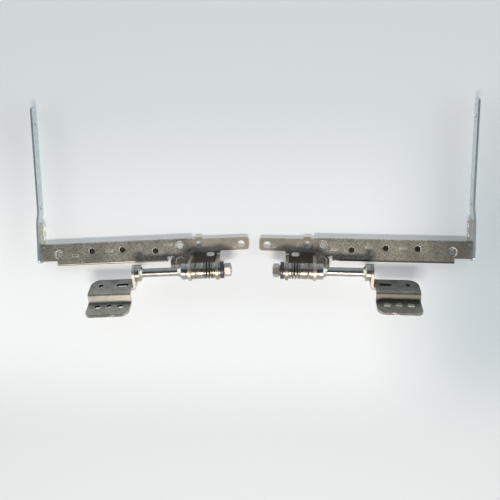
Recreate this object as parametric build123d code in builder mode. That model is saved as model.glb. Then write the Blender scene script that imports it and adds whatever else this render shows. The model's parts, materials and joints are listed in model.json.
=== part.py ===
"""A mirrored pair of laptop lid hinges, lying on a table as they come out of the lid.

One hinge is drawn in its own left-hand frame: X runs along the lid bracket from the side rail to the
tongue's tip, Y runs back towards the rail's far end, and Z is up from the table. The shaft lies along
X at Y = 0. The right-hand hinge is the mirror image of the left one.
"""
import os
from math import asin, cos, degrees, pi, radians, tan

from build123d import *

# Pressed sheet of the lid bracket and the tongue plate
sheet = 1.4
bend = 0.2
relief = 0.5
sheet_fit = 0.2

# Lid bracket: a shallow channel lying on its flanges
bar_height = 3.6
bar_edge = 0.8
bar_length = 77.1
bar_rear = 16.45
bar_front = 5.15
face_front = 7.6
face_gap = 0.1
lip_start = 8.3
lip_gap = {"left": 1.7, "right": 2.3}
lobe_length = {"left": 10.9, "right": 6.9}
lobe_corner = 3.0
tab_end = 27.1
tab_corner = 1.0

# Screw holes of the lid bracket, from the outer end
lid_hole = 2.8
lid_hole_places = [(26.3, 12.0), (41.9, 12.0), (58.7, 10.75)]
lid_hole_collar = 3.9
lid_hole_collar_depth = 1.2
end_hole = 3.1
end_hole_at = (9.4, 10.85)
end_hole_sink = 3.9

# Side rail: a strip on edge, cranked from outside the end tab into line with it
rail_sheet = 1.0
rail_height = 6.2
rail_start = 6.8
rail_bend = 1.5
crank_clear = 0.4
crank_run = 4.4
crank_shift = 0.8
rail_end = 86.5
rail_lean_angle = 1.7
rail_corner = 1.5
panel_hole = 2.2
panel_hole_first = 3.3
panel_hole_pitch = 42.8

# Rivets through the rail and the end tab
rail_rivet = 2.0
rail_rivet_head = 3.0
rail_rivet_rise = 0.5
rail_rivet_break = 0.2
rail_rivet_places = [19.6, 24.4]

# Tongue plate, riveted under the lid bracket's inner end and measured from it
root_length = 7.8
tongue_length = {"left": 28.8, "right": 27.4}
tongue_front = 9.5
tongue_rear = 15.75
tongue_corner = 1.5
tongue_neck = 1.0
locator_inset = 1.5
locator_width = 4.0
locator_rise = 0.95
locator_corner = 0.5
dimple = 3.7
dimple_depth = 0.5
dimple_inset = 3.5
dimple_across = 12.9
tip_slot = 3.3
tip_slot_travel = 0.6
tip_slot_inset = 3.9
tip_slot_across = 12.4
plate_slot = 1.9
plate_slot_length = 3.9
plate_slot_inset = 3.45
plate_slot_across = 7.9

# Rivets through the lid bracket and the tongue plate
tongue_rivet = 2.4
tongue_rivet_head = 3.2
tongue_rivet_rise = 0.12
tongue_rivet_foot = 3.8
tongue_rivet_foot_rise = 0.45
tongue_rivet_inset = {"left": 5.8, "right": 4.2}
tongue_rivet_rows = [12.9, 4.9]

# Ears that carry the shaft
shaft_height = 11.0
ear_radius = 4.75
ear_front = 2.1
ear_rear = 7.7
ear_setback = 0.85

# Shaft, turned from one bar and flatted along its journal
journal = 3.6
journal_flats = 2.9
run_fit = 0.05
run_gap = 0.03
shank = 4.3
shank_length = 17.2
flange = 8.3
flange_width = 2.5
flange_cone = 1.1
flange_cone_root = 6.2
collar = 8.1
collar_width = 2.1
collar_cone = 1.9
collar_cone_root = 6.6
edge_break = 0.25
stub_head = 5.2
stub_head_rise = 0.4

# Friction pack, from the collar to the nut
pack = 8.0
collar_washer = 1.3
cam_disc = 2.07
cam_ridge = 0.36
cam_ridge_root = 1.7
cam_ridge_crest = 0.7
cam_groove_play = 0.06
cam_key_width = 2.0
cam_key_height = 1.4
cam_key_rise = 0.9
spacer = 1.75
spring_sheet = 0.42
spring_cone = 0.315
spring_play = 0.1
spring_count = 6
pressure_washer = 0.75
friction_washer = 0.68
end_washer = 0.75
lock_washer = 1.65
lock_washer_width = 8.4
key_fit = 0.04

# Nut on the shaft's end
thread = 3.5
thread_fit = 0.02
nut_sides = 6
nut_turn_angle = 8.0
nut_flats = 5.9
nut_width = 3.1
nut_chamfer = 0.7
nut_neck = 5.4
nut_neck_width = 0.5
shaft_stub = 0.3

# Foot bracket, drawn lying flat, as with the lid laid right back
foot_sheet = 1.4
foot_bend = 0.3
foot_width = 21.1
foot_neck = 1.1
foot_upper = 11.7
foot_step = 4.6
foot_riser_angle = 75.0
foot_length = 22.3
foot_drop = 5.4
foot_behind = 3.0
foot_ear_width = 7.8
foot_ear_radius = 4.2
foot_rear_corner = 5.0
foot_front_corner = 2.6
foot_inner_corner = 4.0
foot_hole = 2.8
foot_hole_places = [(5.0, 15.9), (16.2, 15.9)]
foot_small_hole = 2.4
foot_small_hole_at = (10.6, 15.5)
foot_top_hole = 2.2
foot_top_hole_at = (5.4, 5.1)
foot_slot = 2.2
foot_slot_length = 6.0
foot_slot_at = (16.2, 5.0)

# How the pair lies on the table
tip_gap = 5.28
tip_stagger = 0.58
lay_angle = {"left": 2.46, "right": -1.31}
foot_angle = {"left": 56.0, "right": 62.0}

# Places that follow from the sizes above
outer_bend = sheet + bend
tongue_top = bar_height - sheet
root_rear = bar_rear - outer_bend - sheet_fit
shaft_axis = Axis((0, 0, shaft_height), (1, 0, 0))
shaft_side = Plane(origin=(0, 0, shaft_height), x_dir=(1, 0, 0), z_dir=(0, -1, 0))

ear_seat = bar_length - ear_setback
root_start = bar_length - root_length
fixed_cam_start = ear_seat + sheet
moving_cam_start = fixed_cam_start + cam_disc + run_gap + cam_ridge
spacer_start = moving_cam_start + cam_disc
springs_start = spacer_start + spacer
spring_pitch = spring_sheet + spring_cone
pressure_start = springs_start + spring_count * spring_pitch
friction_start = pressure_start + pressure_washer
far_ear = friction_start + friction_washer + run_gap
end_washer_start = far_ear + sheet + run_gap
lock_washer_start = end_washer_start + end_washer
nut_start = lock_washer_start + lock_washer
nut_end = nut_start + nut_neck_width + nut_width
shaft_end = nut_end + shaft_stub

collar_washer_start = ear_seat - run_gap - collar_washer
collar_start = collar_washer_start - collar_width
shank_end = collar_start - collar_cone
shank_start = shank_end - shank_length
flange_end = shank_start - flange_cone
flange_start = flange_end - flange_width
foot_ear_start = flange_start - foot_sheet
foot_inner = foot_ear_start - foot_neck
foot_outer = foot_inner - foot_width
foot_top = shaft_height - foot_drop


def rivet_places(side):
    """Where the rivets go through the lid bracket and the tongue plate."""
    return [(bar_length - tongue_rivet_inset[side], across) for across in tongue_rivet_rows]


def across_shaft(position):
    """Plane square to the shaft, with its own X back along Y and its own Y up."""
    return Plane(origin=(position, 0, shaft_height), x_dir=(0, 1, 0), z_dir=(1, 0, 0))


def keyed_hole(fit):
    """Round hole with two flats that locks a washer to the shaft."""
    with BuildSketch() as hole:
        Circle(journal / 2 + fit)
        Rectangle(journal + 2 * fit, journal_flats + 2 * fit, mode=Mode.INTERSECT)
    return hole.sketch


def eared_sheet(start, ear_position, level, thickness, inside, front, rear, radius, corner):
    """Strip of sheet with one rounded corner, whose inner end is folded up into a round ear."""
    with BuildPart() as eared:
        with BuildSketch(Plane.XZ.offset(-rear)):
            with BuildLine():
                FilletPolyline(
                    (start, level),
                    (ear_position, level),
                    (ear_position, shaft_height + 2 * radius),
                    radius=inside,
                )
                offset(amount=thickness, side=Side.RIGHT)
            make_face()
        extrude(amount=rear + 2 * radius)
        with BuildSketch(Plane.YZ.offset(start)):
            with Locations((0, shaft_height)):
                Circle(radius)
            with Locations((front, level - thickness)):
                Rectangle(rear - front, thickness, align=Align.MIN)
            make_hull()
        extrude(amount=ear_position + thickness - start, mode=Mode.INTERSECT)
        if corner > 0:
            fillet(edges().filter_by(Axis.Z).group_by(Axis.X)[0].sort_by(Axis.Y)[0], radius=corner)
    return eared.part


def running_ear(start, ear_position, level):
    """Eared strip of the lid bracket or the tongue plate, bored for the turning shaft."""
    strip = eared_sheet(start, ear_position, level, sheet, bend, ear_front, ear_rear, ear_radius, lobe_corner)
    with BuildPart() as ear:
        add(strip)
        with BuildSketch(across_shaft(ear_position)):
            Circle(journal / 2 + run_fit)
        extrude(amount=sheet, mode=Mode.SUBTRACT)
    return ear.part


def make_lid_bracket(side):
    """Channel with a front lip, a rear flange turned back into an end tab, and a lobe with an ear."""
    flange_from = outer_bend + relief
    tab_start = bar_rear + bend
    lobe_start = bar_length - lobe_length[side]
    lip_end = lobe_start - lip_gap[side]
    lobe = running_ear(lobe_start, ear_seat, bar_height)
    with BuildPart() as lid_bracket:
        with BuildSketch(Plane.YZ.offset(lip_start)):
            with BuildLine():
                Polyline((bar_front, 0), (bar_front, bar_height), (bar_rear, bar_height), (bar_rear, 0))
                offset(amount=sheet, side=Side.RIGHT)
            make_face()
            fillet(vertices().group_by(Axis.Y)[-1], radius=bar_edge)
        extrude(amount=lip_end - lip_start)
        with BuildSketch(Plane.YZ.offset(flange_from)):
            with BuildLine():
                Polyline((face_front, bar_height), (bar_rear, bar_height), (bar_rear, 0))
                offset(amount=sheet, side=Side.RIGHT)
            make_face()
            fillet(vertices().group_by(Axis.Y)[-1].sort_by(Axis.X)[-1], radius=bar_edge)
        extrude(amount=bar_length - flange_from)
        # square end of the face, and the flange's end turned back into the tab
        with BuildSketch(Plane.XY.offset(bar_height)):
            with Locations((face_gap, face_front)):
                Rectangle(flange_from - face_gap, bar_rear - flange_from - face_front, align=Align.MIN)
        extrude(amount=-sheet)
        with BuildSketch():
            with BuildLine():
                FilletPolyline(
                    (flange_from, bar_rear - sheet),
                    (0, bar_rear - sheet),
                    (0, tab_start + bend),
                    radius=outer_bend,
                )
                offset(amount=sheet, side=Side.RIGHT)
            make_face()
        extrude(amount=bar_height - outer_bend)
        with BuildSketch(Plane.YZ):
            with Locations((tab_start, 0)):
                Rectangle(tab_end - tab_start, bar_height, align=Align.MIN)
            fillet(vertices().group_by(Axis.X)[-1], radius=tab_corner)
            with Locations([(across, bar_height / 2) for across in rail_rivet_places]):
                Circle(rail_rivet / 2, mode=Mode.SUBTRACT)
        extrude(amount=sheet)
        # relief beside the fold of the ear
        with BuildSketch(Plane.XY.offset(bar_height)):
            with Locations((ear_seat - bend, face_front)):
                Rectangle(bar_length - ear_seat + bend, ear_rear + relief - face_front, align=Align.MIN)
        extrude(amount=-sheet, mode=Mode.SUBTRACT)
        add(lobe)
        # slot for the key of the fixed cam
        with BuildSketch(across_shaft(ear_seat)):
            with Locations((0, -pack / 2)):
                Rectangle(
                    cam_key_width + 2 * key_fit,
                    cam_key_height + key_fit,
                    align=(Align.CENTER, Align.MIN),
                )
        extrude(amount=sheet, mode=Mode.SUBTRACT)
        # screw holes drawn down into collars, and rivet holes
        with BuildSketch(Plane.XY.offset(bar_height)):
            with Locations(lid_hole_places):
                Circle(lid_hole_collar / 2)
        extrude(amount=-sheet - lid_hole_collar_depth)
        with BuildSketch(Plane.XY.offset(bar_height)):
            with Locations(lid_hole_places):
                Circle(lid_hole / 2)
        extrude(amount=-sheet - lid_hole_collar_depth, mode=Mode.SUBTRACT)
        with BuildSketch(Plane.XY.offset(bar_height)):
            with Locations(rivet_places(side)):
                Circle(tongue_rivet / 2)
        extrude(amount=-sheet, mode=Mode.SUBTRACT)
        with Locations((*end_hole_at, bar_height)):
            CounterSinkHole(radius=end_hole / 2, counter_sink_radius=end_hole_sink / 2, depth=sheet)
    return lid_bracket.part


def make_side_rail():
    """Thin strip standing on edge, bent twice so that it comes into line with the end tab."""
    crank_start = tab_end + crank_clear
    crank_end = crank_start + crank_run
    lean = tan(radians(rail_lean_angle))
    tip_shift = crank_shift - (rail_end - crank_end) * lean
    far_face = Plane(origin=(crank_shift, crank_end, 0), x_dir=(-lean, 1, 0), z_dir=(1, lean, 0))
    with BuildPart() as side_rail:
        with BuildSketch():
            with BuildLine():
                FilletPolyline(
                    (0, rail_start),
                    (0, crank_start),
                    (crank_shift, crank_end),
                    (tip_shift, rail_end),
                    radius=[rail_bend, rail_bend + rail_sheet],
                )
                offset(amount=rail_sheet, side=Side.LEFT)
            make_face()
        extrude(amount=rail_height)
        with BuildSketch(Plane.YZ):
            with Locations((rail_start, 0)):
                Rectangle(rail_end - rail_start, rail_height, align=Align.MIN)
            fillet(vertices(), radius=rail_corner)
            with Locations([(across, bar_height / 2) for across in rail_rivet_places]):
                Circle(rail_rivet / 2, mode=Mode.SUBTRACT)
        extrude(amount=rail_height, both=True, mode=Mode.INTERSECT)
        with BuildSketch(far_face):
            for along in (panel_hole_first, panel_hole_first + panel_hole_pitch):
                with Locations((along, rail_height / 2)):
                    Circle(panel_hole / 2)
        extrude(amount=-rail_sheet, mode=Mode.SUBTRACT)
    return side_rail.part


def make_rail_rivets():
    """Two rivets that close the rail against the end tab."""
    with BuildPart() as rivets:
        for across in rail_rivet_places:
            with BuildSketch(Plane.YZ.offset(-rail_sheet)):
                with Locations((across, bar_height / 2)):
                    Circle(rail_rivet / 2)
            extrude(amount=rail_sheet + sheet)
            for face_at, way in ((-rail_sheet, -1), (sheet, 1)):
                with BuildSketch(Plane.YZ.offset(face_at)):
                    with Locations((across, bar_height / 2)):
                        Circle(rail_rivet_head / 2)
                extrude(amount=way * rail_rivet_rise)
        rims = edges().filter_by(GeomType.CIRCLE).group_by(Axis.X)
        fillet(rims[0] + rims[-1], radius=rail_rivet_break)
    return rivets.part


def make_tongue_plate(side):
    """Flat plate with a slotted tongue, one ear for the shaft's far end, a locating tab and a dimple."""
    tongue_tip = bar_length + tongue_length[side]
    dimple_radius = (dimple**2 / 4 + dimple_depth**2) / (2 * dimple_depth)
    dimple_rim = degrees(asin(1 - dimple_depth / dimple_radius))
    from_below = (Align.CENTER, Align.CENTER, Align.MIN)
    ear = running_ear(root_start, far_ear, tongue_top)
    with BuildPart() as tongue_plate:
        with BuildSketch(Plane.XY.offset(tongue_top)):
            with Locations((root_start, ear_rear - relief)):
                Rectangle(far_ear - bend - root_start, root_rear - ear_rear + relief, align=Align.MIN)
            with Locations((bar_length + sheet_fit, ear_rear + relief)):
                Rectangle(
                    far_ear + sheet - bar_length - sheet_fit,
                    tongue_rear - ear_rear - relief,
                    align=Align.MIN,
                )
            with Locations((far_ear, tongue_front)):
                Rectangle(tongue_tip - far_ear, tongue_rear - tongue_front, align=Align.MIN)
            fillet(vertices().group_by(Axis.X)[-1], radius=tongue_corner)
            neck = vertices().sort_by_distance((far_ear + sheet, tongue_front, 0))[0]
            fillet(neck, radius=tongue_neck)
            with Locations((bar_length + locator_inset, tongue_rear - relief)):
                Rectangle(locator_width, locator_rise + relief, align=Align.MIN)
            fillet(vertices().group_by(Axis.Y)[-1], radius=locator_corner)
        extrude(amount=-sheet)
        add(ear)
        with BuildSketch(Plane.XY.offset(tongue_top)):
            with Locations(rivet_places(side)):
                Circle(tongue_rivet / 2)
            with Locations((tongue_tip - tip_slot_inset, tip_slot_across)):
                SlotCenterToCenter(tip_slot_travel, tip_slot)
            with Locations((far_ear - plate_slot_inset, plate_slot_across)):
                SlotOverall(plate_slot_length, plate_slot)
        extrude(amount=-sheet, mode=Mode.SUBTRACT)
        # dimple pressed down through the sheet
        with Locations((bar_length + dimple_inset, dimple_across, tongue_top - sheet - dimple_depth)):
            Sphere(dimple_radius, arc_size2=-dimple_rim, align=from_below)
        with Locations((bar_length + dimple_inset, dimple_across, tongue_top - dimple_depth)):
            Sphere(dimple_radius, align=from_below, mode=Mode.SUBTRACT)
    return tongue_plate.part


def make_tongue_rivets(side):
    """Two rivets, nearly flush on top, that hold the tongue plate under the lid bracket."""
    with BuildPart() as rivets:
        for level, way, width, height in (
            (bar_height, 1, tongue_rivet_head, tongue_rivet_rise),
            (bar_height, -1, tongue_rivet, 2 * sheet),
            (bar_height - 2 * sheet, -1, tongue_rivet_foot, tongue_rivet_foot_rise),
        ):
            with BuildSketch(Plane.XY.offset(level)):
                with Locations(rivet_places(side)):
                    Circle(width / 2)
            extrude(amount=way * height)
    return rivets.part


def make_hinge_shaft():
    """Turned shaft: peened stub, flange, shank, collar, and a flatted journal with a threaded end."""
    with BuildPart() as hinge_shaft:
        with BuildSketch(shaft_side):
            with BuildLine():
                Polyline(
                    (foot_ear_start - stub_head_rise, 0),
                    (foot_ear_start - stub_head_rise, stub_head / 2 - edge_break),
                    (foot_ear_start, stub_head / 2),
                    (foot_ear_start, journal / 2),
                    (flange_start, journal / 2),
                    (flange_start, flange / 2 - edge_break),
                    (flange_start + edge_break, flange / 2),
                    (flange_end - edge_break, flange / 2),
                    (flange_end, flange / 2 - edge_break),
                    (flange_end, flange_cone_root / 2),
                    (shank_start, shank / 2),
                    (shank_end, shank / 2),
                    (collar_start, collar_cone_root / 2),
                    (collar_start, collar / 2 - edge_break),
                    (collar_start + edge_break, collar / 2),
                    (collar_washer_start, collar / 2),
                    (collar_washer_start, journal / 2),
                    (nut_start, journal / 2),
                    (nut_start, thread / 2),
                    (shaft_end - edge_break, thread / 2),
                    (shaft_end, thread / 2 - edge_break),
                    (shaft_end, 0),
                    close=True,
                )
            make_face()
        revolve(axis=shaft_axis)
        for start, end in ((foot_ear_start, flange_start), (collar_washer_start, shaft_end)):
            with BuildSketch(across_shaft(start)):
                Rectangle(collar, collar)
                Rectangle(collar, journal_flats, mode=Mode.SUBTRACT)
            extrude(amount=end - start, mode=Mode.SUBTRACT)
    return hinge_shaft.part


def make_washer(start, thickness, width):
    """Flat washer keyed to the shaft's flats."""
    with BuildPart() as washer:
        with BuildSketch(across_shaft(start)):
            Circle(width / 2)
            add(keyed_hole(key_fit), mode=Mode.SUBTRACT)
        extrude(amount=thickness)
    return washer.part


def cam_prism(face_at, way, play):
    """Bar of tapering section lying across the shaft, for a cam's ridge or its groove."""
    with BuildPart() as prism:
        with BuildSketch(shaft_side.offset(-pack)):
            with BuildLine():
                Polyline(
                    (face_at, cam_ridge_root / 2 + play),
                    (face_at + way * (cam_ridge + play), cam_ridge_crest / 2 + play),
                    (face_at + way * (cam_ridge + play), -cam_ridge_crest / 2 - play),
                    (face_at, -cam_ridge_root / 2 - play),
                    close=True,
                )
            make_face()
        extrude(amount=2 * pack)
    return prism.part


def make_fixed_cam():
    """Cam disc keyed into the lid bracket's ear, with a detent groove across its face."""
    groove = cam_prism(fixed_cam_start + cam_disc, -1, cam_groove_play)
    with BuildPart() as fixed_cam:
        with BuildSketch(across_shaft(fixed_cam_start)):
            Circle(pack / 2)
            Circle(journal / 2 + run_fit, mode=Mode.SUBTRACT)
        extrude(amount=cam_disc)
        add(groove, mode=Mode.SUBTRACT)
        with BuildSketch(across_shaft(fixed_cam_start)):
            with Locations((0, -pack / 2)):
                Rectangle(cam_key_width, cam_key_height, align=(Align.CENTER, Align.MIN))
            Circle(pack / 2, mode=Mode.INTERSECT)
        extrude(amount=-cam_key_rise)
    return fixed_cam.part


def make_moving_cam():
    """Cam disc keyed to the shaft, with the ridge that drops into the fixed cam's groove."""
    ridge = cam_prism(moving_cam_start, -1, 0)
    with BuildPart() as moving_cam:
        with BuildSketch(across_shaft(moving_cam_start)):
            Rectangle(pack, pack)
        extrude(amount=cam_disc)
        add(ridge)
        with BuildSketch(across_shaft(moving_cam_start - cam_ridge)):
            Circle(pack / 2)
            add(keyed_hole(key_fit), mode=Mode.SUBTRACT)
        extrude(amount=cam_ridge + cam_disc, mode=Mode.INTERSECT)
    return moving_cam.part


def make_disc_spring(index):
    """One coned disc; neighbours face each other, rim to rim and bore to bore."""
    start = springs_start + index * spring_pitch
    rim = spring_cone if index % 2 == 0 else 0
    bore = spring_cone - rim
    with BuildPart() as disc_spring:
        with BuildSketch(shaft_side):
            with BuildLine():
                Polyline(
                    (start + bore, journal / 2 + spring_play),
                    (start + bore + spring_sheet, journal / 2 + spring_play),
                    (start + rim + spring_sheet, pack / 2),
                    (start + rim, pack / 2),
                    close=True,
                )
            make_face()
        revolve(axis=shaft_axis)
    return disc_spring.part


def make_shaft_nut():
    """Six-sided nut with a short neck, chamfered at its outer end."""
    corner = nut_flats / 2 / cos(pi / nut_sides)
    with BuildPart() as shaft_nut:
        with BuildSketch(across_shaft(nut_start + nut_neck_width)):
            RegularPolygon(nut_flats / 2, nut_sides, major_radius=False, rotation=nut_turn_angle)
        extrude(amount=nut_width)
        with BuildSketch(shaft_side):
            with BuildLine():
                Polyline(
                    (nut_start, 0),
                    (nut_start, nut_flats),
                    (nut_end - nut_chamfer / 2, corner),
                    (nut_end, corner - nut_chamfer),
                    (nut_end, 0),
                    close=True,
                )
            make_face()
        revolve(axis=shaft_axis, mode=Mode.INTERSECT)
        with BuildSketch(across_shaft(nut_start)):
            Circle(nut_neck / 2)
        extrude(amount=nut_neck_width)
        with BuildSketch(across_shaft(nut_start)):
            Circle(thread / 2 + thread_fit)
        extrude(amount=nut_end - nut_start, mode=Mode.SUBTRACT)
    return shaft_nut.part


def on_foot(place):
    """Place on the flat foot, given from its outer rear corner."""
    return (foot_outer + place[0], foot_behind - place[1])


def make_foot_bracket():
    """Stepped plate that screws to the base, with an ear peened on the shaft's stub."""
    rear = foot_behind
    riser = foot_behind - foot_upper
    riser_foot = riser - foot_step / tan(radians(foot_riser_angle))
    front = foot_behind - foot_length
    ear = eared_sheet(
        foot_inner - foot_bend,
        foot_ear_start,
        foot_top,
        foot_sheet,
        foot_bend,
        foot_behind - foot_ear_width,
        foot_behind,
        foot_ear_radius,
        0,
    )
    with BuildPart() as foot_bracket:
        with BuildSketch(Plane.YZ.offset(foot_outer)):
            with BuildLine():
                FilletPolyline(
                    (rear, foot_top),
                    (riser, foot_top),
                    (riser_foot, foot_top - foot_step),
                    (front, foot_top - foot_step),
                    radius=[foot_bend + foot_sheet, foot_bend],
                )
                offset(amount=foot_sheet, side=Side.LEFT)
            make_face()
        extrude(amount=foot_inner - foot_outer)
        with BuildSketch(Plane.XY):
            with Locations((foot_outer, front)):
                Rectangle(foot_inner - foot_outer, foot_length, align=Align.MIN)
            outer = vertices().group_by(Axis.X)[0].sort_by(Axis.Y)
            fillet(outer[-1], radius=foot_rear_corner)
            fillet(vertices().group_by(Axis.Y)[0].sort_by(Axis.X)[0], radius=foot_front_corner)
            fillet(vertices().group_by(Axis.Y)[0].sort_by(Axis.X)[-1], radius=foot_inner_corner)
            with Locations([on_foot(place) for place in foot_hole_places]):
                Circle(foot_hole / 2, mode=Mode.SUBTRACT)
            with Locations(on_foot(foot_small_hole_at)):
                Circle(foot_small_hole / 2, mode=Mode.SUBTRACT)
            with Locations(on_foot(foot_top_hole_at)):
                Circle(foot_top_hole / 2, mode=Mode.SUBTRACT)
            with Locations(on_foot(foot_slot_at)):
                SlotOverall(foot_slot_length, foot_slot, mode=Mode.SUBTRACT)
        extrude(amount=shaft_height, both=True, mode=Mode.INTERSECT)
        add(ear)
        with BuildSketch(across_shaft(foot_ear_start)):
            add(keyed_hole(0))
        extrude(amount=foot_sheet, mode=Mode.SUBTRACT)
    return foot_bracket.part


def make_lid_pieces(side):
    """Pieces that stay with the lid; the two hinges' punchings differ a little."""
    return {
        "lid_bracket": make_lid_bracket(side),
        "side_rail": make_side_rail(),
        "rail_rivets": make_rail_rivets(),
        "tongue_plate": make_tongue_plate(side),
        "tongue_rivets": make_tongue_rivets(side),
        "fixed_cam": make_fixed_cam(),
    }


# Pieces that turn with the foot
foot_pieces = {
    "foot_bracket": make_foot_bracket(),
    "hinge_shaft": make_hinge_shaft(),
    "collar_washer": make_washer(collar_washer_start, collar_washer, pack),
    "moving_cam": make_moving_cam(),
    "spacer_ring": make_washer(spacer_start, spacer, pack),
    "pressure_washer": make_washer(pressure_start, pressure_washer, pack),
    "friction_washer": make_washer(friction_start, friction_washer, pack),
    "end_washer": make_washer(end_washer_start, end_washer, pack),
    "lock_washer": make_washer(lock_washer_start, lock_washer, lock_washer_width),
    "shaft_nut": make_shaft_nut(),
}
for index in range(spring_count):
    foot_pieces[f"disc_spring_{index + 1}"] = make_disc_spring(index)


def lay_down(piece, side):
    """Put one piece of a hinge where it lies in the pair."""
    hand = -1 if side == "left" else 1
    if side == "right":
        piece = mirror(piece, about=Plane.YZ)
    tip = Location((hand * (bar_length + tongue_length[side]), -tip_slot_across, 0))
    place = Location((hand * tip_gap / 2, -hand * tip_stagger / 2, 0), (0, 0, lay_angle[side]))
    return piece.moved(place * tip)


pieces = {}
for side in ("left", "right"):
    for name, piece in make_lid_pieces(side).items():
        pieces[f"{side}_{name}"] = lay_down(piece, side)
    for name, piece in foot_pieces.items():
        turned = piece.rotate(shaft_axis, -foot_angle[side])
        pieces[f"{side}_{name}"] = lay_down(turned, side)

# The pair stands on the table, centred over the origin
boxes = [piece.bounding_box() for piece in pieces.values()]
middle_x = (min(box.min.X for box in boxes) + max(box.max.X for box in boxes)) / 2
middle_y = (min(box.min.Y for box in boxes) + max(box.max.Y for box in boxes)) / 2
centre = Location((-middle_x, -middle_y, -min(box.min.Z for box in boxes)))

os.makedirs("parts", exist_ok=True)
for name, piece in pieces.items():
    placed = piece.moved(centre)
    placed.label = name
    export_step(placed, f"parts/{name}.step")
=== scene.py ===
"""A pair of laptop lid hinges: their finishes and small details, on a pale table under soft studio light."""
import json
from math import atan2, cos, radians, sin, tau

import bmesh
import bpy
from mathutils import Euler, Matrix, Vector

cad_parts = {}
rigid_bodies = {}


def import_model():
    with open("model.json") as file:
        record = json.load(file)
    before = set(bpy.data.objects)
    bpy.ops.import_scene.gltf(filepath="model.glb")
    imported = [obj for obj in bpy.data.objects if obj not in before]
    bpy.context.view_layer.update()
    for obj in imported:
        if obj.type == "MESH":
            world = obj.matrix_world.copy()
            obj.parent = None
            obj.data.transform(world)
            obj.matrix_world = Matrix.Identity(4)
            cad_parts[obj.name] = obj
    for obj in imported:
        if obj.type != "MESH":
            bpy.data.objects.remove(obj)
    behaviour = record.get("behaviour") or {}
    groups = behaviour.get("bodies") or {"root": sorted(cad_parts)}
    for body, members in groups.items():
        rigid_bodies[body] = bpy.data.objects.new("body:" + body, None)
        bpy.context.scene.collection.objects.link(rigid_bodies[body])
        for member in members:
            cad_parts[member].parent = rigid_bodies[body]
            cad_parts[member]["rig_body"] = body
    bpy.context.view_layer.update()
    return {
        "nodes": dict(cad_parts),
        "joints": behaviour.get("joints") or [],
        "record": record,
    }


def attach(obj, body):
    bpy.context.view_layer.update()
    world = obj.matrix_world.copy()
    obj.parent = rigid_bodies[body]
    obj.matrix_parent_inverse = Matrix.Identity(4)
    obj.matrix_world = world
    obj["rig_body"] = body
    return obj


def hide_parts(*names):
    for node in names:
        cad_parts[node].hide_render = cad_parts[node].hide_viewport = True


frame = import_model()

MM = 0.001
SIDES = ("left", "right")

# Camera of the photograph, in millimetres and degrees
IMAGE_SIZE = 500
FOCAL_PIXELS = 650
SENSOR = 36.0
AIM = Vector((-0.58, -20.88, 3.6))
DISTANCE = 325.0
TILT = 3.15
CLIP_START = 10.0

# Places on one hinge, in millimetres: along the shaft, back from it, and up from the table
JOINT_ALONG = 60.0
SHAFT_HEIGHT = 11.0
FOOT_ANGLE = {"left": 56.0, "right": 62.0}
BAR_TOP = 3.6
BAR_REAR = 16.45
LIP_FRONT = 5.15
LIP_END = 64.5
TONGUE_TOP = 2.2
TONGUE_FRONT = 9.5
RIVET_ALONG = {"left": 71.3, "right": 72.9}
RIVET_ROWS = (12.9, 4.9)
RIVET_RADIUS = 1.6
FOOT_FRONT = -19.3
FOOT_TOP = 1.0
FOOT_RISER = (-10.2, -8.9)
FOOT_EAR = 47.7

# Round holes and the dimple: along, back and radius
LID_HOLES = ((26.3, 12.0, 1.4), (41.9, 12.0, 1.4), (58.7, 10.75, 1.4))
END_HOLE = (9.4, 10.85, 1.95)
FOOT_HOLES = ((31.52, -12.9, 1.4), (37.12, -12.5, 1.2), (42.72, -12.9, 1.4))
FOOT_TOP_HOLE = (31.92, -2.1, 1.1)
DIMPLE = (80.6, 12.9, 1.85)

# The foot's slot as a row of round spots: where it starts, how far it goes back, its radius, and the row
SLOT_ALONG = 40.82
SLOT_BACK = -2.0
SLOT_RADIUS = 1.1
SLOT_STEP = 0.38
SLOT_SPOTS = 11
FOOT_SLOT = tuple((SLOT_ALONG + SLOT_STEP * i, SLOT_BACK, SLOT_RADIUS) for i in range(SLOT_SPOTS))

# Shallow embossed frames on the bars: outer corner, inner corner
BAR_FRAMES = {
    "left": (
        ((15.7, 9.1), (19.7, 11.0)),
        ((33.0, 11.1), (37.2, 13.0)),
        ((48.1, 10.7), (52.0, 12.6)),
        ((63.0, 13.0), (67.4, 14.7)),
    ),
    "right": (
        ((31.3, 11.5), (35.6, 13.1)),
        ((48.4, 11.6), (52.3, 13.2)),
        ((65.1, 10.2), (69.0, 11.8)),
    ),
}
# Punched dashes on the tongues, each pair as one outline: outer corner, inner corner
TONGUE_DASHES = {
    "left": (((82.3, 12.0), (84.5, 13.9)), ((97.5, 10.7), (99.5, 13.4))),
    "right": (((84.4, 11.9), (85.9, 14.1)), ((95.9, 10.9), (97.9, 13.1))),
}


def linear(hex_colour):
    """A colour written as sRGB hex, as the linear RGBA that shaders take."""
    channels = [int(hex_colour[i : i + 2], 16) / 255 for i in (0, 2, 4)]
    return [c / 12.92 if c <= 0.04045 else ((c + 0.055) / 1.055) ** 2.4 for c in channels] + [1.0]


def hinge_place(side):
    """Turn and origin that carry the row frame, mirrored for the right hinge, into one hinge's own frame."""
    joint = next(j for j in frame["joints"] if j["name"] == f"{side}_hinge")
    hand = 1 if side == "left" else -1
    along = Vector(joint["axis"]) * Vector((1, hand, 1))
    turn = Euler((0, 0, -atan2(along.y, along.x))).to_matrix()
    on_axis = Vector(joint["pos_m"]) * Vector((hand, 1, 1)) / MM
    origin = Vector((JOINT_ALONG, 0, SHAFT_HEIGHT)) - turn @ on_axis
    return turn, origin, hand


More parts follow.
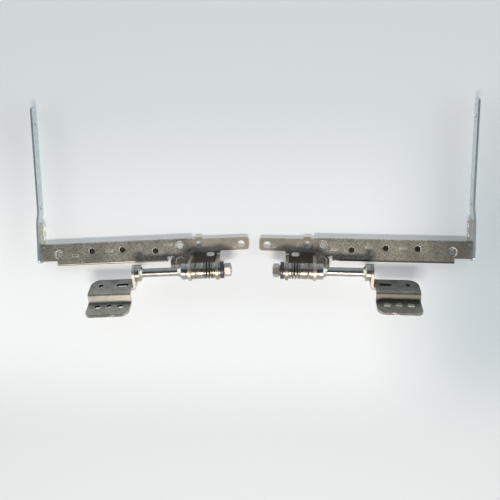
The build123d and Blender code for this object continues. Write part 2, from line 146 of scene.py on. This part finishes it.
def to_row(side, foot=False):
    """Matrix from a hinge's frame in millimetres, or its foot's flat frame, to the row frame in metres."""
    turn, origin, hand = hinge_place(side)
    inward = Matrix.Translation(origin) @ turn.to_4x4() @ Matrix.Diagonal((hand / MM, 1 / MM, 1 / MM, 1))
    if foot:
        axis = Matrix.Translation((0, 0, SHAFT_HEIGHT))
        inward = axis @ Matrix.Rotation(radians(FOOT_ANGLE[side]), 4, "X") @ axis.inverted() @ inward
    return inward.inverted()


def add(tree, kind, inputs=None, **settings):
    """Add one shader node: settings are its properties, inputs are values or the sockets that feed it."""
    node = tree.nodes.new(kind)
    for name, value in settings.items():
        setattr(node, name, value)
    for name, value in (inputs or {}).items():
        if isinstance(value, bpy.types.NodeSocket):
            tree.links.new(value, node.inputs[name])
        else:
            node.inputs[name].default_value = value
    return node


def hinge_coordinates(tree, side, foot=False):
    """Millimetres along, back and up in one hinge's own frame, or in its foot's flat frame."""
    turn, origin, hand = hinge_place(side)
    inputs = {
        "Vector": add(tree, "ShaderNodeTexCoord").outputs["Object"],
        "Location": origin,
        "Rotation": turn.to_euler(),
        "Scale": (hand / MM, 1 / MM, 1 / MM),
    }
    own = add(tree, "ShaderNodeMapping", inputs).outputs[0]
    if not foot:
        return own
    angle = radians(FOOT_ANGLE[side])
    sway = Vector((0, sin(angle) * SHAFT_HEIGHT, SHAFT_HEIGHT - cos(angle) * SHAFT_HEIGHT))
    laid = {"Vector": own, "Location": sway, "Rotation": (angle, 0, 0)}
    return add(tree, "ShaderNodeMapping", laid).outputs[0]


# Middle stretch of the noise that patches and grain use, and how strongly the grain stands up
PATCH_SPREAD = (0.34, 0.66)
GRAIN_SPREAD = (0.3, 0.7)
BUMP_STRENGTH = 0.6


def metal(name, side, tones, patch, grain, stretch, contrast, rough, depth, foot=False, metallic=1.0):
    """A metal finish: two tones in cloudy patches, with a finer grain that shows in tone, gloss and bump.

    Sizes are in millimetres. Stretch draws the grain out along, back or up. The real grain is finer than a
    pixel, so it is drawn as coarse as it needs to show.
    """
    material = bpy.data.materials.new(f"{name}_{side}")
    material.use_nodes = True
    tree = material.node_tree
    place = hinge_coordinates(tree, side, foot)
    drawn = add(tree, "ShaderNodeMapping", {"Vector": place, "Scale": [1 / s for s in stretch]}).outputs[0]
    cloudy = {"Vector": place, "Scale": 1 / patch, "Detail": 4, "Roughness": 0.6}
    grainy = {"Vector": drawn, "Scale": 1 / grain, "Detail": 3, "Roughness": 0.65}
    patches = add(tree, "ShaderNodeTexNoise", cloudy).outputs["Fac"]
    grains = add(tree, "ShaderNodeTexNoise", grainy).outputs["Fac"]
    patched = {"Value": patches, "From Min": PATCH_SPREAD[0], "From Max": PATCH_SPREAD[1]}
    spread = {"Value": grains, "From Min": GRAIN_SPREAD[0], "From Max": GRAIN_SPREAD[1]}
    share = add(tree, "ShaderNodeMapRange", patched).outputs[0]
    two_tones = {"Factor": share, "A": linear(tones[0]), "B": linear(tones[1])}
    ground = add(tree, "ShaderNodeMix", two_tones, data_type="RGBA").outputs["Result"]
    shading = {**spread, "To Min": 1 - contrast, "To Max": 1 + contrast}
    shade = add(tree, "ShaderNodeMapRange", shading).outputs[0]
    colour = add(
        tree,
        "ShaderNodeMix",
        {"Factor": 1.0, "A": ground, "B": shade},
        data_type="RGBA",
        blend_type="MULTIPLY",
    )
    gloss = add(tree, "ShaderNodeMapRange", {**spread, "To Min": rough[1], "To Max": rough[0]})
    bump = add(
        tree,
        "ShaderNodeBump",
        {"Height": grains, "Strength": BUMP_STRENGTH, "Distance": depth * MM},
    )
    shader = tree.nodes["Principled BSDF"]
    shader.inputs["Metallic"].default_value = metallic
    tree.links.new(colour.outputs["Result"], shader.inputs["Base Color"])
    tree.links.new(gloss.outputs[0], shader.inputs["Roughness"])
    tree.links.new(bump.outputs[0], shader.inputs["Normal"])
    return material


def overlay(material, mask, colour, roughness):
    """Lay a second look over a finished metal where the mask is 1: worn bright or soiled, and also painted
    highlights and painted shade.
    """
    tree = material.node_tree
    shader = tree.nodes["Principled BSDF"]
    for name, value, kind in (("Base Color", linear(colour), "RGBA"), ("Roughness", roughness, "FLOAT")):
        under = shader.inputs[name].links[0].from_socket
        mix = add(tree, "ShaderNodeMix", {"Factor": mask}, data_type=kind)
        ends = [s for s in mix.inputs if s.enabled and s.name in ("A", "B")]
        tree.links.new(under, ends[0])
        ends[1].default_value = value
        result = next(s for s in mix.outputs if s.enabled)
        tree.links.new(result, shader.inputs[name])


def around(tree, place, spots, margin):
    """Mask that is 1 inside round spots on a flat face, each given as along, back and radius."""
    flat = add(tree, "ShaderNodeVectorMath", {0: place, 1: (1, 1, 0)}, operation="MULTIPLY").outputs[0]
    mask = 0.0
    for along, back, radius in spots:
        away = add(tree, "ShaderNodeVectorMath", {0: flat, 1: (along, back, 0)}, operation="DISTANCE")
        inside = add(
            tree,
            "ShaderNodeMapRange",
            {"Value": away.outputs["Value"], "From Min": radius + margin, "From Max": radius + margin / 3},
        )
        mask = add(tree, "ShaderNodeMath", {0: inside.outputs[0], 1: mask}, operation="MAXIMUM").outputs[0]
    return mask


# Unlit steel inside a punched hole, and how far its dark reaches past the hole's wall, in millimetres
HOLE_WALL = "151516"
HOLE_MARGIN = 0.1


def stamped_nickel(side):
    """Matte nickel on stamped steel: grey-brown with a frosted speckle; the outer end is darker and duller,
    and the lip and end tab carry painted highlight and shade.
    """
    material = metal(
        "matte_nickel",
        side,
        tones={"left": ("a49f92", "ccc6b8"), "right": ("aaa394", "cdc5b4")}[side],
        patch=6.0,
        grain=0.55,
        stretch=(1, 1, 1),
        contrast=0.7,
        rough=(0.42, 0.58),
        depth=0.05,
    )
    tree = material.node_tree
    place = hinge_coordinates(tree, side)
    axes = add(tree, "ShaderNodeSeparateXYZ", {"Vector": place}).outputs

    # the outer end, darker and duller
    dull_from, dull_to, dull_most = {"left": (12.0, 2.0, 0.25), "right": (26.0, 8.0, 0.7)}[side]
    dull = add(
        tree,
        "ShaderNodeMapRange",
        {"Value": axes["X"], "From Min": dull_from, "From Max": dull_to, "To Max": dull_most},
        interpolation_type="SMOOTHSTEP",
    )
    overlay(material, dull.outputs[0], colour="7d7d78", roughness=0.5)

    # the front lip: a painted highlight along it on the left and painted shade on the right, with painted
    # shade on its front face below
    lip_starts = LIP_FRONT + 1.0
    lip_full = LIP_FRONT + 0.7
    lip_fade = 0.3
    edge_starts = BAR_TOP - 0.2
    edge_full = BAR_TOP - 0.3
    at_lip = add(
        tree,
        "ShaderNodeMapRange",
        {"Value": axes["Y"], "From Min": lip_starts, "From Max": lip_full},
    )
    on_lip = add(
        tree,
        "ShaderNodeMapRange",
        {"Value": axes["X"], "From Min": LIP_END + lip_fade, "From Max": LIP_END},
    )
    lip = add(tree, "ShaderNodeMath", {0: at_lip.outputs[0], 1: on_lip.outputs[0]}, operation="MULTIPLY")
    overlay(material, lip.outputs[0], colour={"left": "d3ccbc", "right": "4d4a43"}[side], roughness=0.35)
    under = add(
        tree,
        "ShaderNodeMapRange",
        {"Value": axes["Z"], "From Min": edge_starts, "From Max": edge_full},
    )
    edge = add(tree, "ShaderNodeMath", {0: lip.outputs[0], 1: under.outputs[0]}, operation="MULTIPLY")
    overlay(material, edge.outputs[0], colour="45423b", roughness=0.5)

    # the end tab behind the bar, pale as a painted highlight, stronger on the left than on the right
    tab_fade = 0.4
    tab_most = {"left": 0.9, "right": 0.5}[side]
    on_tab = add(
        tree,
        "ShaderNodeMapRange",
        {"Value": axes["Y"], "From Min": BAR_REAR, "From Max": BAR_REAR + tab_fade, "To Max": tab_most},
    )
    overlay(material, on_tab.outputs[0], colour="ebe5d6", roughness=0.55)
    overlay(material, around(tree, place, LID_HOLES, HOLE_MARGIN), colour=HOLE_WALL, roughness=0.6)
    return material


def foot_nickel(side):
    """Satin nickel on the foot: grey, finely brushed, with the plate chipped bright along the front edge."""
    material = metal(
        "worn_nickel",
        side,
        tones={"left": ("9d9a90", "bbb7ab"), "right": ("85827a", "a19d93")}[side],
        patch=5.0,
        grain=0.45,
        stretch=(3, 1, 1),
        contrast=0.25,
        rough=(0.4, 0.52),
        depth=0.03,
        foot=True,
    )
    tree = material.node_tree
    place = hinge_coordinates(tree, side, foot=True)
    axes = add(tree, "ShaderNodeSeparateXYZ", {"Vector": place}).outputs
    along, back = axes["X"], axes["Y"]
    riser_low, riser_high = FOOT_RISER

    # a dark rim along the front edge, with bright chips that gather there
    rim_starts = FOOT_FRONT + 0.5
    rim_full = FOOT_FRONT + 0.2
    rim = add(
        tree,
        "ShaderNodeMapRange",
        {"Value": back, "From Min": rim_starts, "From Max": rim_full, "To Max": 0.8},
    )
    overlay(material, rim.outputs[0], colour="5f5c54", roughness=0.5)
    chip_reach = 1.4
    chip_size = 0.9
    near = add(
        tree,
        "ShaderNodeMapRange",
        {"Value": back, "From Min": FOOT_FRONT + chip_reach, "From Max": FOOT_FRONT, "To Max": 0.15},
    )
    specks = add(tree, "ShaderNodeTexNoise", {"Vector": place, "Scale": 1 / chip_size, "Detail": 3})
    chance = add(tree, "ShaderNodeMath", {0: specks.outputs["Fac"], 1: near.outputs[0]}, operation="ADD")
    chipped = add(
        tree,
        "ShaderNodeMapRange",
        {"Value": chance.outputs[0], "From Min": 0.73, "From Max": 0.8, "To Max": 0.7},
    )
    overlay(material, chipped.outputs[0], colour="e8e4da", roughness=0.5)

    # painted shade in the fold below the riser
    fold_shade_starts = riser_low - 1.6
    fold_shade_full = riser_low - 0.6
    fold_edge = 0.1
    fold_shade = add(
        tree,
        "ShaderNodeMapRange",
        {"Value": back, "From Min": fold_shade_starts, "From Max": fold_shade_full, "To Max": 0.6},
    )
    below = add(
        tree,
        "ShaderNodeMapRange",
        {"Value": back, "From Min": riser_low + fold_edge, "From Max": riser_low},
    )
    painted_fold_shade = add(tree, "ShaderNodeMath", {0: fold_shade.outputs[0], 1: below.outputs[0]}, operation="MULTIPLY")
    overlay(material, painted_fold_shade.outputs[0], colour="55524b", roughness=0.5)

    # the upright ear's edge: a painted highlight on the left, and painted shade that tones down its
    # reflection on the right
    ear_fade = 0.2
    ear = add(
        tree,
        "ShaderNodeMapRange",
        {"Value": along, "From Min": FOOT_EAR - ear_fade, "From Max": FOOT_EAR, "To Max": 0.9},
    )
    overlay(material, ear.outputs[0], colour={"left": "c6beb2", "right": "9a9388"}[side], roughness=0.45)

    # painted shade on the risers, the right one dark brown all over
    riser_shade_colour, riser_shade_most = {"left": ("8c8981", 0.6), "right": ("716d61", 1.0)}[side]
    riser_fade = 0.3
    above = add(
        tree,
        "ShaderNodeMapRange",
        {"Value": back, "From Min": riser_low - riser_fade, "From Max": riser_low, "To Max": riser_shade_most},
    )
    under = add(
        tree,
        "ShaderNodeMapRange",
        {"Value": back, "From Min": riser_high + riser_fade, "From Max": riser_high},
    )
    riser_shade = add(tree, "ShaderNodeMath", {0: above.outputs[0], 1: under.outputs[0]}, operation="MULTIPLY")
    overlay(material, riser_shade.outputs[0], colour=riser_shade_colour, roughness=0.5)

    # the walls of the holes: painted shade on the left foot, in the top hole and in the slot, and a plain
    # grey on the right foot
    wall = {"left": HOLE_WALL, "right": "a39b8b"}[side]
    overlay(material, around(tree, place, FOOT_HOLES, HOLE_MARGIN), colour=wall, roughness=0.6)
    top_holes = (FOOT_TOP_HOLE,) + FOOT_SLOT
    overlay(material, around(tree, place, top_holes, HOLE_MARGIN), colour="33312d", roughness=0.5)
    return material


def tongue_nickel(side):
    """Satin nickel on the tongue: smooth, warmer than the bar and rolled lengthways; the dimple is matte."""
    material = metal(
        "satin_nickel",
        side,
        tones={"left": ("cbc1ad", "e1d8c6"), "right": ("bcb4a2", "d2c9b8")}[side],
        patch=8.0,
        grain=0.5,
        stretch=(4, 1, 1),
        contrast=0.12,
        rough=(0.42, 0.52),
        depth=0.015,
    )
    tree = material.node_tree
    place = hinge_coordinates(tree, side)
    back = add(tree, "ShaderNodeSeparateXYZ", {"Vector": place}).outputs["Y"]

    # the plate beside the pack, darkened as the pack's painted shadow
    plate_shade_starts = TONGUE_FRONT + 0.3
    plate_shade_full = TONGUE_FRONT - 0.7
    painted_plate_shade = add(
        tree,
        "ShaderNodeMapRange",
        {"Value": back, "From Min": plate_shade_starts, "From Max": plate_shade_full, "To Max": 0.5},
    )
    overlay(material, painted_plate_shade.outputs[0], colour="5c564b", roughness=0.4)
    dimple_margin = 0.2
    overlay(material, around(tree, place, [DIMPLE], dimple_margin), colour="aba9a6", roughness=0.6)
    return material


def peened_steel(side):
    """Rivet steel, peened in small dents: pale behind, with the pack's shadow painted brown on the front
    rivet.
    """
    material = metal(
        "peened_steel",
        side,
        tones={"left": ("e8eeed", "fafcfb"), "right": ("c0c8c7", "dae0df")}[side],
        patch=1.2,
        grain=0.5,
        stretch=(1, 1, 1),
        contrast=0.1,
        rough=(0.46, 0.6),
        depth=0.05,
    )
    tree = material.node_tree
    place = hinge_coordinates(tree, side)
    front_rivet = (RIVET_ALONG[side], RIVET_ROWS[1], RIVET_RADIUS)
    rivet_margin = 0.4
    # painted shadow of the pack on the front rivet
    overlay(material, around(tree, place, [front_rivet], rivet_margin), colour="b0a898", roughness=0.6)
    return material


# Finishes that are one metal all over
PLAIN_FINISHES = {
    # bright zinc: bluish, with soft spangle patches
    "rail_zinc": {
        "name": "bright_zinc",
        "tones": ("c6d0d3", "d8e0e2"),
        "patch": 2.5,
        "grain": 0.8,
        "stretch": (1, 2, 1),
        "contrast": 0.07,
        "rough": (0.42, 0.52),
        "depth": 0.01,
    },
    # turned nickel: polished, with fine tool rings round the shaft
    "turned_nickel": {
        "name": "turned_nickel",
        "tones": ("a29e96", "b5b1a9"),
        "patch": 4.0,
        "grain": 0.3,
        "stretch": (1, 8, 8),
        "contrast": 0.1,
        "rough": (0.26, 0.34),
        "depth": 0.004,
    },
    # washer nickel: pale and warm, with the same tool rings
    "washer_nickel": {
        "name": "washer_nickel",
        "tones": ("a09c93", "b6b1a8"),
        "patch": 2.0,
        "grain": 0.3,
        "stretch": (1, 6, 6),
        "contrast": 0.2,
        "rough": (0.22, 0.32),
        "depth": 0.008,
    },
    # sintered cam steel: darker, with an open pore speckle
    "cam_steel": {
        "name": "sintered_steel",
        "tones": ("8f887b", "a89f90"),
        "patch": 2.0,
        "grain": 0.35,
        "stretch": (1, 1, 1),
        "contrast": 0.3,
        "rough": (0.3, 0.42),
        "depth": 0.03,
    },
    # spring steel: dark straw temper under an oil film
    "spring_steel": {
        "name": "spring_steel",
        "tones": ("7d776d", "989184"),
        "patch": 1.5,
        "grain": 0.4,
        "stretch": (1, 3, 3),
        "contrast": 0.2,
        "rough": (0.26, 0.36),
        "depth": 0.01,
    },
    # rubbed nickel: proud ridges and burrs polished by handling, and made pale to stand for their highlights
    # as well
    "rubbed_nickel": {
        "name": "rubbed_nickel",
        "tones": ("e4ddce", "f4efe3"),
        "patch": 2.0,
        "grain": 0.5,
        "stretch": (1, 1, 1),
        "contrast": 0.1,
        "rough": (0.4, 0.5),
        "depth": 0.01,
    },
    # black oxide: near black, a little brown and dusty
    "black_oxide": {
        "name": "black_oxide",
        "tones": ("454547", "595654"),
        "patch": 1.5,
        "grain": 0.4,
        "stretch": (1, 1, 1),
        "contrast": 0.3,
        "rough": (0.34, 0.5),
        "depth": 0.02,
        "metallic": 0.6,
    },
}
finishes = {}
for side in SIDES:
    finishes[side] = {
        "bracket_nickel": stamped_nickel(side),
        "tongue_nickel": tongue_nickel(side),
        "foot_nickel": foot_nickel(side),
        "rivet_steel": peened_steel(side),
    }
    for slot, look in PLAIN_FINISHES.items():
        finishes[side][slot] = metal(side=side, **look)

# Eased edges: how wide they are by finish, in millimetres, and which edges count as sharp or flat, in degrees
EASED_EDGE = 0.08
EASED_EDGES = {
    "spring_steel": 0.05,
    "washer_nickel": 0.1,
    "bracket_nickel": 0.16,
    "tongue_nickel": 0.16,
    "foot_nickel": 0.16,
    "rail_zinc": 0.16,
}
SHARP_ANGLE = 28.0
FLAT_ANGLE = 0.5
WELD = 0.001
# Face strengths of the weighted normals: the flats set the shading, the eased edges follow
STRONG = 16384
WEAK = -16384


def smooth_piece(name, bm, material, body):
    """Finish a mesh as a piece that rides on a body."""
    for face in bm.faces:
        face.smooth = True
    mesh = bpy.data.meshes.new(name)
    bm.to_mesh(mesh)
    bm.free()
    mesh.materials.append(material)
    piece = bpy.data.objects.new(name, mesh)
    bpy.context.scene.collection.objects.link(piece)
    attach(piece, body)
    return piece


def eased_copy(node, edge, material):
    """A copy of a solid with its sharp edges eased, as plating and tumbling leave them."""
    bm = bmesh.new()
    bm.from_mesh(frame["nodes"][node].data)
    bmesh.ops.remove_doubles(bm, verts=bm.verts, dist=WELD * MM)
    bmesh.ops.dissolve_limit(bm, angle_limit=radians(FLAT_ANGLE), verts=bm.verts, edges=bm.edges)
    strength = bm.faces.layers.int.new("__mod_weightednormals_faceweight")
    for face in bm.faces:
        face[strength] = STRONG
    sharp = [e for e in bm.edges if e.is_manifold and e.calc_face_angle() > radians(SHARP_ANGLE)]
    eased = bmesh.ops.bevel(
        bm,
        geom=sharp,
        offset=edge * MM,
        offset_type="OFFSET",
        segments=2,
        profile=0.5,
        affect="EDGES",
        clamp_overlap=True,
        material=-1,
    )
    for face in eased["faces"]:
        face[strength] = WEAK
    piece = smooth_piece(f"{node}_piece", bm, material, frame["nodes"][node]["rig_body"])
    weighted = piece.modifiers.new("flat_faces", "WEIGHTED_NORMAL")
    weighted.use_face_influence = True
    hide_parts(node)


for subpart in frame["record"]["subparts"]:
    slot = subpart["material_slot"]
    side = subpart["node"].split("_")[0]
    eased_copy(subpart["node"], EASED_EDGES.get(slot, EASED_EDGE), finishes[side][slot])


def join(bm, other):
    """Put one mesh into another."""
    mesh = bpy.data.meshes.new("joined")
    other.to_mesh(mesh)
    other.free()
    bm.from_mesh(mesh)
    bpy.data.meshes.remove(mesh)


def burr(bm, place, centre, radius, width, rise, way, lean):
    """Raised lip round a punched hole, leaning so that it stands proud on one side and sinks on the other."""
    section = [(radius, 0, -rise / 2), (radius + width / 2, 0, rise / 2), (radius + width, 0, -rise / 2)]
    rim = bmesh.new()
    points = [rim.verts.new(p) for p in section]
    edges = [rim.edges.new((points[i - 1], points[i])) for i in range(len(points))]
    bmesh.ops.spin(
        rim,
        geom=points + edges,
        cent=(0, 0, 0),
        axis=(0, 0, 1),
        angle=tau,
        steps=40,
        use_merge=True,
    )
    bmesh.ops.recalc_face_normals(rim, faces=rim.faces)
    across = Euler((0, 0, radians(way))).to_matrix() @ Vector((0, 1, 0))
    tilt = Matrix.Translation(centre) @ Matrix.Rotation(radians(-lean), 4, across)
    bmesh.ops.transform(rim, matrix=place @ tilt, verts=rim.verts)
    join(bm, rim)


def embossed_outline(bm, place, low, high, level, width, rise):
    """Low ridge along the outline of a rectangle, pressed up out of a flat face."""
    outline = bmesh.new()
    corners = [(low[0], low[1]), (high[0], low[1]), (high[0], high[1]), (low[0], high[1])]
    face = outline.faces.new([outline.verts.new((x, y, level - rise / 2)) for x, y in corners])
    for depth in (1.5 * rise, -1.5 * rise):
        outline.normal_update()
        bmesh.ops.inset_region(
            outline,
            faces=[face],
            thickness=width / 2,
            depth=depth,
            use_boundary=True,
            use_even_offset=True,
        )
    bmesh.ops.delete(outline, geom=[face], context="FACES_ONLY")
    bmesh.ops.transform(outline, matrix=place, verts=outline.verts)
    bmesh.ops.recalc_face_normals(outline, faces=outline.faces)
    join(bm, outline)


# Burrs and pressed outlines: width and rise in millimetres, and the way and lean of a burr in degrees
LID_BURR = {"width": 0.4, "rise": 0.07, "way": 120, "lean": 3}
END_BURR = {"width": 0.6, "rise": 0.12, "way": 150, "lean": 3}
RIVET_BURR = {"width": 0.45, "rise": 0.08, "way": 120, "lean": 2}
FOOT_BURR = {"width": 0.4, "rise": 0.4, "way": -90, "lean": 5}
FRAME_RIDGE = {"width": 0.8, "rise": 0.09}
DASH_RIDGE = {"width": 0.6, "rise": 0.07}
RIVET_CLEARANCE = 0.35

# Small pressings and burrs of each hinge
for side in SIDES:
    place = to_row(side)
    tucked = to_row(side, foot=True)
    rubbed = finishes[side]["rubbed_nickel"]
    bar = bmesh.new()
    for along, back, radius in LID_HOLES:
        burr(bar, place, (along, back, BAR_TOP), radius, **LID_BURR)
    along, back, radius = END_HOLE
    burr(bar, place, (along, back, BAR_TOP), radius, **END_BURR)
    for back in RIVET_ROWS:
        burr(bar, place, (RIVET_ALONG[side], back, BAR_TOP), RIVET_RADIUS + RIVET_CLEARANCE, **RIVET_BURR)
    for low, high in BAR_FRAMES[side]:
        embossed_outline(bar, place, low, high, BAR_TOP, **FRAME_RIDGE)
    smooth_piece(f"{side}_bar_pressings", bar, rubbed, "lid_side")
    tongue = bmesh.new()
    for low, high in TONGUE_DASHES[side]:
        embossed_outline(tongue, place, low, high, TONGUE_TOP, **DASH_RIDGE)
    smooth_piece(f"{side}_tongue_pressings", tongue, rubbed, "lid_side")
    foot = bmesh.new()
    for along, back, radius in FOOT_HOLES:
        burr(foot, tucked, (along, back, FOOT_TOP), radius, **FOOT_BURR)
    smooth_piece(f"{side}_foot_burrs", foot, rubbed, f"{side}_foot")

# Table: a white board, dimmer and bluer away from the lamp: axis, start and end in metres, and colour there
BOARD_SIZE = 20.0
BOARD_TONE = "f8f9f8"
BOARD_ROUGHNESS = 0.7
BOARD_SHADES = (
    ("X", 0.05, 0.12, "cbd3d6"),
    ("Y", -0.03, 0.06, "e0e4e5"),
    ("Y", -0.06, -0.12, "e0e2e1"),
)
# The board is lifted a little towards its own colour where it is seen: half as much through the end holes,
# and not at all through the lid holes
BOARD_LIFT = 0.28
UNLIT_HOLES = ((LID_HOLES, 1.0), ((END_HOLE,), 0.5))
UNLIT_MARGIN = 0.5
bpy.ops.mesh.primitive_plane_add(size=BOARD_SIZE)
table = bpy.context.object
table.name = "table"
table_top = bpy.data.materials.new("matte_white_board")
table_top.use_nodes = True
board = table_top.node_tree
spot = add(board, "ShaderNodeSeparateXYZ", {"Vector": add(board, "ShaderNodeTexCoord").outputs["Object"]})
tone = linear(BOARD_TONE)
for axis, start, end, dim in BOARD_SHADES:
    away = add(
        board,
        "ShaderNodeMapRange",
        {"Value": spot.outputs[axis], "From Min": start, "From Max": end},
        interpolation_type="SMOOTHSTEP",
    )
    dimmed = {"Factor": away.outputs[0], "A": tone, "B": linear(dim)}
    tone = add(board, "ShaderNodeMix", dimmed, data_type="RGBA").outputs["Result"]
matte = board.nodes["Principled BSDF"]
board.links.new(tone, matte.inputs["Base Color"])
matte.inputs["Roughness"].default_value = BOARD_ROUGHNESS
ray = add(board, "ShaderNodeLightPath")
seen = 0.0
for kind in ("Is Camera Ray", "Is Glossy Ray", "Is Transmission Ray"):
    seen = add(board, "ShaderNodeMath", {0: ray.outputs[kind], 1: seen}, operation="MAXIMUM").outputs[0]
for side in SIDES:
    place = hinge_coordinates(board, side)
    for holes, shade in UNLIT_HOLES:
        inside = around(board, place, holes, UNLIT_MARGIN)
        unlit = add(board, "ShaderNodeMath", {0: inside, 1: shade}, operation="MULTIPLY")
        lifted = {0: seen, 1: unlit.outputs[0]}
        seen = add(board, "ShaderNodeMath", lifted, operation="SUBTRACT", use_clamp=True).outputs[0]
lift = add(board, "ShaderNodeMath", {0: seen, 1: BOARD_LIFT}, operation="MULTIPLY")
pale = add(board, "ShaderNodeEmission", {"Color": tone})
surface = add(board, "ShaderNodeMixShader", {0: lift.outputs[0], 1: matte.outputs[0], 2: pale.outputs[0]})
board.links.new(surface.outputs[0], board.nodes["Material Output"].inputs["Surface"])
table.data.materials.append(table_top)

# Room light: a wide soft wall in front, a low bright window at the right, dimmer walls at the left and
# behind, and a dark ceiling. Each wall has the way it lies, the sines of the heights that it runs between,
# its strength and its tint
WALLS = {
    "front_upper": ((0, -1, 0), 0.6, 0.85, 0.4, "fffdf8"),
    "front_lower": ((0, -1, 0), -1.0, 0.6, 0.6, "fffaf2"),
    "right_window": ((1, 0, 0), 0.12, 0.38, 4.5, "eefdff"),
    "left_wall": ((-1, 0, 0), -1.0, 0.45, 2.9, "f6faff"),
    "back_wall": ((0, 1, 0), -1.0, 0.85, 0.7, "d8e8ff"),
}
WALL_EDGE = 0.05
WALL_CORNER = (0.5, 0.9)
CEILING = "1c1d1e"
world = bpy.data.worlds.new("studio")
world.use_nodes = True
sky = world.node_tree
direction = add(sky, "ShaderNodeTexCoord").outputs["Generated"]
height = add(sky, "ShaderNodeSeparateXYZ", {"Vector": direction}).outputs["Z"]
flat = add(sky, "ShaderNodeVectorMath", {0: direction, 1: (1, 1, 0)}, operation="MULTIPLY").outputs[0]
level = add(sky, "ShaderNodeVectorMath", {0: flat}, operation="NORMALIZE").outputs[0]
room = linear(CEILING)[:3]
for way, low, high, strength, tint in WALLS.values():
    facing = add(sky, "ShaderNodeVectorMath", {0: level, 1: way}, operation="DOT_PRODUCT").outputs["Value"]
    share = 1.0
    for value, start, end in (
        (facing, *WALL_CORNER),
        (height, low - WALL_EDGE, low + WALL_EDGE),
        (height, high + WALL_EDGE, high - WALL_EDGE),
    ):
        part = add(sky, "ShaderNodeMapRange", {"Value": value, "From Min": start, "From Max": end}).outputs[0]
        share = add(sky, "ShaderNodeMath", {0: part, 1: share}, operation="MULTIPLY").outputs[0]
    colour = [strength * c for c in linear(tint)[:3]]
    lit = add(sky, "ShaderNodeVectorMath", {0: colour, "Scale": share}, operation="SCALE").outputs[0]
    room = add(sky, "ShaderNodeVectorMath", {0: room, 1: lit}, operation="ADD").outputs[0]
sky.links.new(room, sky.nodes["Background"].inputs["Color"])
bpy.context.scene.world = world

# Lamp: a narrow softbox high in front that looks at the hinges, in metres and watts
LAMP_PLACE = Vector((0, -0.48, 0.56))
LAMP_AIM = Vector((0, -0.02, 0))
lamp_data = bpy.data.lights.new("front_strip", "AREA")
lamp_data.shape = "RECTANGLE"
lamp_data.size = 0.26
lamp_data.size_y = 0.08
lamp_data.energy = 3.5
lamp_data.color = linear("fffaf6")[:3]
lamp = bpy.data.objects.new("front_strip", lamp_data)
lamp.location = LAMP_PLACE
lamp.rotation_euler = (LAMP_AIM - LAMP_PLACE).to_track_quat("-Z", "Y").to_euler()
bpy.context.scene.collection.objects.link(lamp)

# Camera
camera_data = bpy.data.cameras.new("camera")
camera_data.lens = FOCAL_PIXELS / IMAGE_SIZE * SENSOR
camera_data.sensor_width = SENSOR
camera_data.clip_start = CLIP_START * MM
camera = bpy.data.objects.new("camera", camera_data)
camera.rotation_euler = (0.0, radians(TILT), 0.0)
camera.location = (AIM + camera.rotation_euler.to_matrix() @ Vector((0.0, 0.0, DISTANCE))) * MM
bpy.context.scene.collection.objects.link(camera)
bpy.context.scene.camera = camera
bpy.context.scene.view_settings.view_transform = "Standard"
